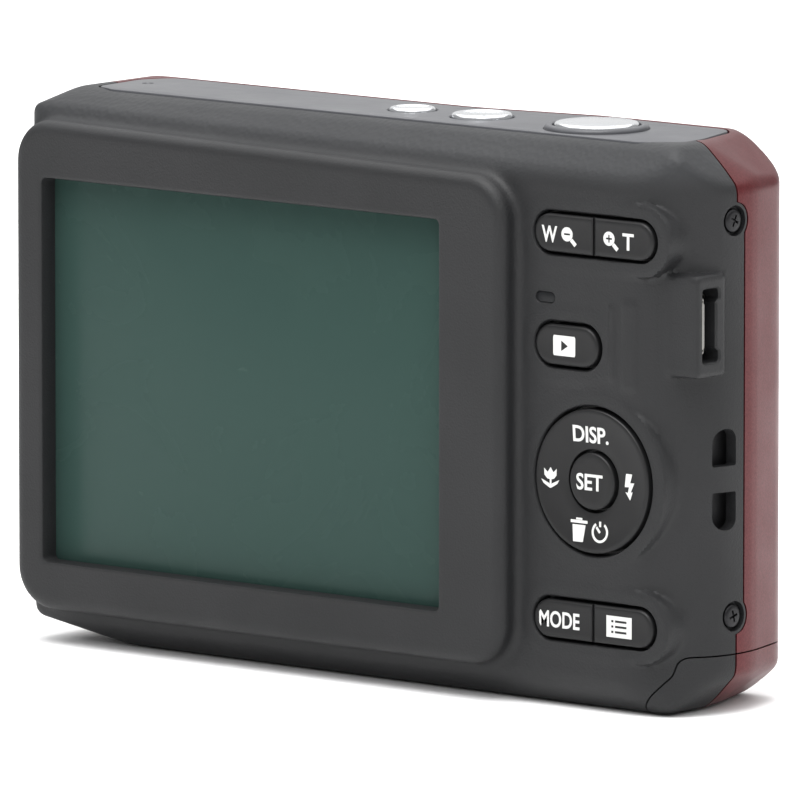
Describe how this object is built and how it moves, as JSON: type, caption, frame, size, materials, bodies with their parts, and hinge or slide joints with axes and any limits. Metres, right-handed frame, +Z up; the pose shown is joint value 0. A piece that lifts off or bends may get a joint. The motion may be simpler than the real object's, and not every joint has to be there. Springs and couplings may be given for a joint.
{
  "type": "compact digital camera",
  "caption": "Pocket camera with a framed rear display, rocker keys and four-way pad, retracting lens, top buttons and a hinged battery door.",
  "frame": {"origin": "middle of the bounding box's base, on the surface the camera stands on", "axes": "+X along the width towards the lens end, +Y out of the display, -Y out of the lens, +Z up"},
  "size_m": [0.0904, 0.0272, 0.0604],
  "materials": {
    "body_black": "fine grained moulded plastic",
    "cover_red": "red metallic paint with a satin clear coat",
    "plate_grey": "satin plastic",
    "key_black": "matte moulded keys with white legends",
    "button_chrome": "satin chrome plated plastic",
    "display_glass": "coated display window",
    "display_dark": "liquid crystal panel, switched off",
    "sheet_steel": "stamped steel",
    "board_green": "solder mask on glass fibre board",
    "sensor_dark": "image sensor on its plate",
    "barrel_grey": "satin moulded lens barrel",
    "ring_metal": "turned and anodised",
    "lens_glass": "coated optical glass",
    "clear_plastic": "clear moulded window",
    "lamp_red": "tinted clear plastic",
    "light_window": "smoked light guide",
    "reflector": "bright reflector",
    "capacitor": "sleeved aluminium can",
    "speaker_cone": "small sealed unit",
    "chamber_black": "moulded battery holder",
    "cell": "wrapped dry cell",
    "contact_nickel": "nickel plated spring steel",
    "screw_black": "blackened steel",
    "pin_steel": "ground steel",
    "port_metal": "plated connector shell",
    "tongue_black": "moulded tongue",
    "brass": "machined insert"
  },
  "bodies": {
    "camera": {"rear_cover": "body_black", "front_cover": "cover_red", "top_plate": "plate_grey", "shutter_collar": "body_black", "display_glass": "display_glass", "display_panel": "display_dark", "display_frame": "sheet_steel", "chassis_plate": "sheet_steel", "main_board": "board_green", "card_socket": "port_metal", "image_sensor": "sensor_dark", "key_board": "board_green", "top_board": "board_green", "status_light": "light_window", "lens_ring": "ring_metal", "lens_housing": "chamber_black", "rear_lens": "lens_glass", "zoom_motor": "port_metal", "zoom_gearbox": "chamber_black", "flash_window": "clear_plastic", "flash_reflector": "reflector", "flash_tube": "lens_glass", "flash_capacitor": "capacitor", "af_lamp": "lamp_red", "microphone": "port_metal", "speaker": "speaker_cone", "battery_chamber": "chamber_black", "battery_cells": "cell", "battery_contacts": "contact_nickel", "door_hinge_pin": "pin_steel", "side_screws": "screw_black", "bottom_screws": "screw_black", "port_shell": "port_metal", "port_tongue": "tongue_black", "tripod_socket": "brass"},
    "zoom_key": {"zoom_rocker": "key_black"},
    "mode_key": {"mode_rocker": "key_black"},
    "playback_key": {"playback_button": "key_black"},
    "pad_pivot": {"pad_pivot_ring": "sheet_steel"},
    "four_way_key": {"four_way_pad": "key_black"},
    "set_key": {"set_button": "key_black"},
    "shutter_key": {"shutter_button": "button_chrome"},
    "record_key": {"record_button": "button_chrome"},
    "power_key": {"power_button": "button_chrome"},
    "cam": {"cam_ring": "barrel_grey"},
    "barrel": {"outer_barrel": "barrel_grey"},
    "lens_head": {"inner_barrel": "barrel_grey", "front_lens": "lens_glass"},
    "blade_upper": {"upper_blade": "chamber_black"},
    "blade_lower": {"lower_blade": "chamber_black"},
    "door": {"battery_door": "body_black", "battery_door_front": "cover_red", "door_contact": "contact_nickel"},
    "latch": {"door_latch": "key_black"}
  },
  "joints": [
    {"name": "zoom_rock", "type": "hinge", "parent": "camera", "child": "zoom_key", "pos_m": [-0.033, 0.0095, 0.04975], "axis": [0, 0, 1], "range_deg": [-1.3, 1.3], "stiffness_Nm_per_rad": 0.03},
    {"name": "mode_rock", "type": "hinge", "parent": "camera", "child": "mode_key", "pos_m": [-0.033, 0.0095, 0.00935], "axis": [0, 0, 1], "range_deg": [-1.3, 1.3], "stiffness_Nm_per_rad": 0.03},
    {"name": "playback_press", "type": "slide", "parent": "camera", "child": "playback_key", "axis": [0, -1, 0], "range_m": [0, 0.0002], "stiffness_N_per_m": 900, "springref_m": -0.0002},
    {"name": "pad_tilt_up_down", "type": "hinge", "parent": "camera", "child": "pad_pivot", "pos_m": [-0.0328, 0.00955, 0.0242], "axis": [1, 0, 0], "range_deg": [-1, 1], "stiffness_Nm_per_rad": 0.03},
    {"name": "pad_tilt_left_right", "type": "hinge", "parent": "pad_pivot", "child": "four_way_key", "pos_m": [-0.0328, 0.00955, 0.0242], "axis": [0, 0, 1], "range_deg": [-0.9, 0.9], "stiffness_Nm_per_rad": 0.03},
    {"name": "set_press", "type": "slide", "parent": "camera", "child": "set_key", "axis": [0, -1, 0], "range_m": [0, 0.0002], "stiffness_N_per_m": 900, "springref_m": -0.0002},
    {"name": "shutter_press", "type": "slide", "parent": "camera", "child": "shutter_key", "axis": [0, 0, -1], "range_m": [0, 0.0005], "stiffness_N_per_m": 600, "springref_m": -0.0002},
    {"name": "record_press", "type": "slide", "parent": "camera", "child": "record_key", "axis": [0, 0, -1], "range_m": [0, 0.0003], "stiffness_N_per_m": 600, "springref_m": -0.0002},
    {"name": "power_press", "type": "slide", "parent": "camera", "child": "power_key", "axis": [0, 0, -1], "range_m": [0, 0.0003], "stiffness_N_per_m": 600, "springref_m": -0.0002},
    {"name": "lens_extend", "type": "slide", "parent": "camera", "child": "barrel", "axis": [0, -1, 0], "range_m": [0, 0.007]},
    {"name": "cam_turn", "type": "hinge", "parent": "camera", "child": "cam", "pos_m": [0.02, -0.0006, 0.029], "axis": [0, -1, 0], "range_deg": [0, 60]},
    {"name": "head_extend", "type": "slide", "parent": "barrel", "child": "lens_head", "axis": [0, -1, 0], "range_m": [0, 0.006]},
    {"name": "upper_blade_swing", "type": "hinge", "parent": "lens_head", "child": "blade_upper", "pos_m": [0.0298, -0.0117, 0.0305], "axis": [0, 1, 0], "range_deg": [0, 40]},
    {"name": "lower_blade_swing", "type": "hinge", "parent": "lens_head", "child": "blade_lower", "pos_m": [0.0298, -0.0117, 0.0275], "axis": [0, -1, 0], "range_deg": [0, 40]},
    {"name": "door_swing", "type": "hinge", "parent": "camera", "child": "door", "pos_m": [-0.0443, 0.0014, 0.0048], "axis": [0, 1, 0], "range_deg": [0, 85]},
    {"name": "latch_slide", "type": "slide", "parent": "door", "child": "latch", "axis": [-1, 0, 0], "range_m": [0, 0.002]}
  ],
  "couplings": [
    {"joint": "cam_turn", "follows": "lens_extend", "rad_per_m": 149.45},
    {"joint": "head_extend", "follows": "lens_extend", "ratio": 0.85629},
    {"joint": "upper_blade_swing", "follows": "lens_extend", "rad_per_m": 99.633},
    {"joint": "lower_blade_swing", "follows": "lens_extend", "rad_per_m": 99.633}
  ]
}
